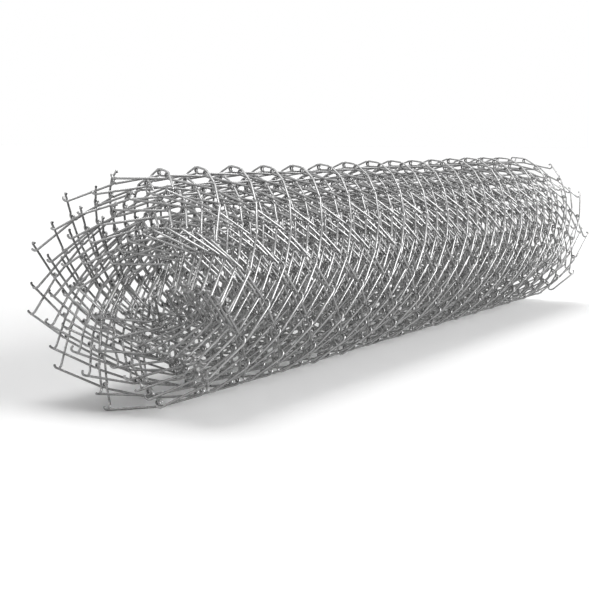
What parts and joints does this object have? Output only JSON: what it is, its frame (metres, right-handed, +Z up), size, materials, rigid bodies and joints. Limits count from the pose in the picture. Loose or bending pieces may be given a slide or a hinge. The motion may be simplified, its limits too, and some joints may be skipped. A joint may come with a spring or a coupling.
{
  "type": "roll of wire fencing",
  "caption": "Roll of galvanised woven diamond-mesh wire fencing, wound on itself around an open bore, to be unrolled and tied to fence posts.",
  "frame": {"origin": "middle of the roll's underside, on the floor", "axes": "+X along the roll, away from the end that faces the viewer; +Z up"},
  "size_m": [1.5, 0.3402, 0.3305],
  "materials": {
    "galvanised_wire": "galvanised"
  },
  "bodies": {
    "root": {"mesh_roll": "galvanised_wire"}
  },
  "joints": []
}
